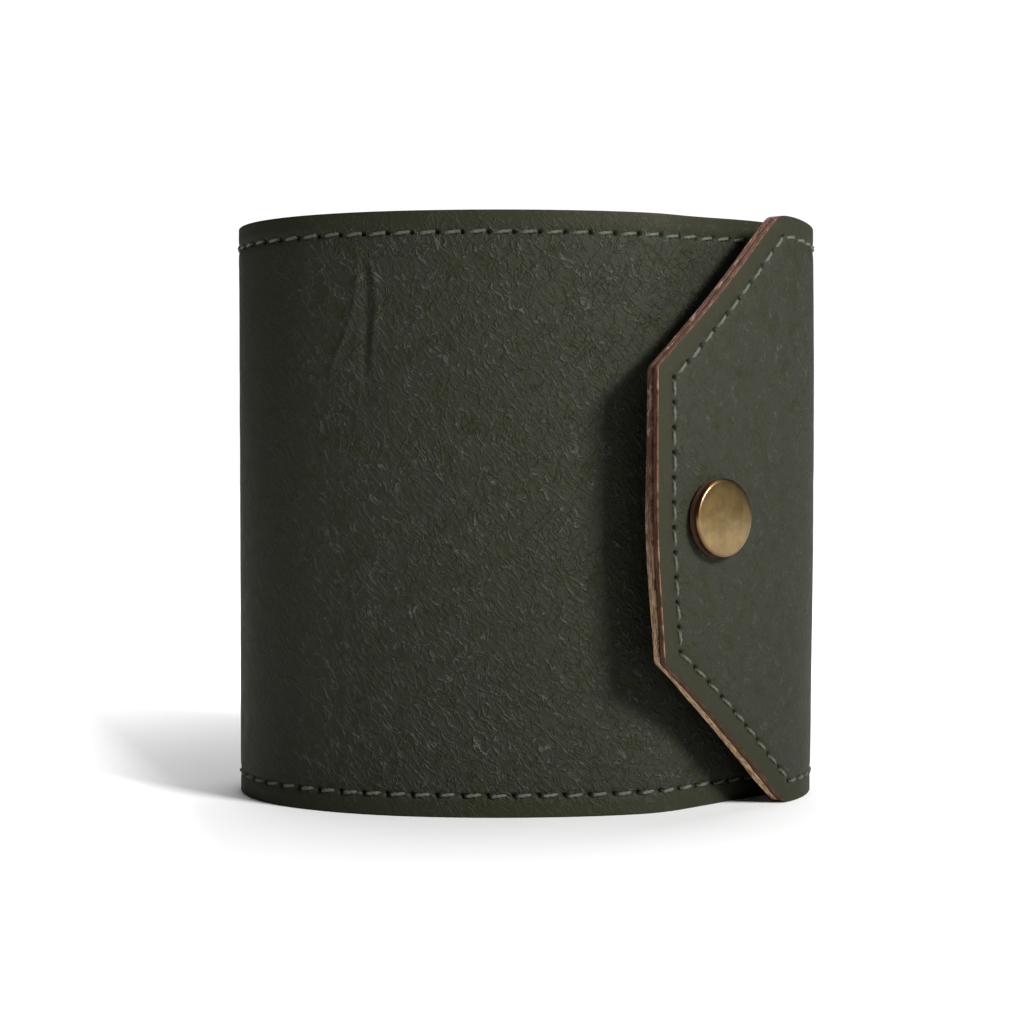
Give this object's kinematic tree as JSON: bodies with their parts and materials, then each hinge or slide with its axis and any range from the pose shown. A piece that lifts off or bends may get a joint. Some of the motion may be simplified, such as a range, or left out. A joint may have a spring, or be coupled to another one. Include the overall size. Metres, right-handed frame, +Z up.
{
  "type": "card holder",
  "caption": "Wrap-round leather card holder standing on its edge, an oval loop closed by a chamfered flap with a brass press stud; card pockets sewn inside.",
  "frame": {"origin": "centre of the footprint, on the surface that the lower edge stands on", "axes": "+X to the right seen from the front, where the flap closes; +Y to the back; +Z up"},
  "size_m": [0.0992, 0.0636, 0.096],
  "materials": {
    "outer_leather": "satin",
    "lining_leather": "matte",
    "pocket_leather": "matte",
    "antique_brass": "brushed",
    "snap_brass": "satin",
    "spring_steel": "satin",
    "thread": "matte"
  },
  "bodies": {
    "back_cover": {"back_leather": "outer_leather", "back_lining": "lining_leather", "back_tall_pocket": "pocket_leather", "back_short_pocket": "pocket_leather", "back_top_stitching": "thread", "back_bottom_stitching": "thread", "back_pocket_stitching": "thread"},
    "front_cover": {"front_leather": "outer_leather", "front_lining": "lining_leather", "front_tall_pocket": "pocket_leather", "front_short_pocket": "pocket_leather", "front_stitching": "thread", "front_pocket_stitching": "thread", "snap_stud": "snap_brass", "stud_rivet": "snap_brass"},
    "flap": {"flap_leather": "outer_leather", "flap_lining": "lining_leather", "flap_stitching": "thread", "snap_cap": "antique_brass", "snap_socket": "snap_brass", "snap_spring": "spring_steel"}
  },
  "joints": [
    {"name": "flap_fold", "type": "hinge", "parent": "back_cover", "child": "flap", "pos_m": [0.04926, 0.00696, 0.048], "axis": [0, 0, 1], "range_deg": [0, 160]},
    {"name": "cover_fold", "type": "hinge", "parent": "back_cover", "child": "front_cover", "pos_m": [-0.04926, 0.00605, 0.048], "axis": [0, 0, -1], "range_deg": [0, 60]}
  ],
  "couplings": [
    {"joint": "cover_fold", "follows": "flap_fold", "ratio": 0.375}
  ]
}
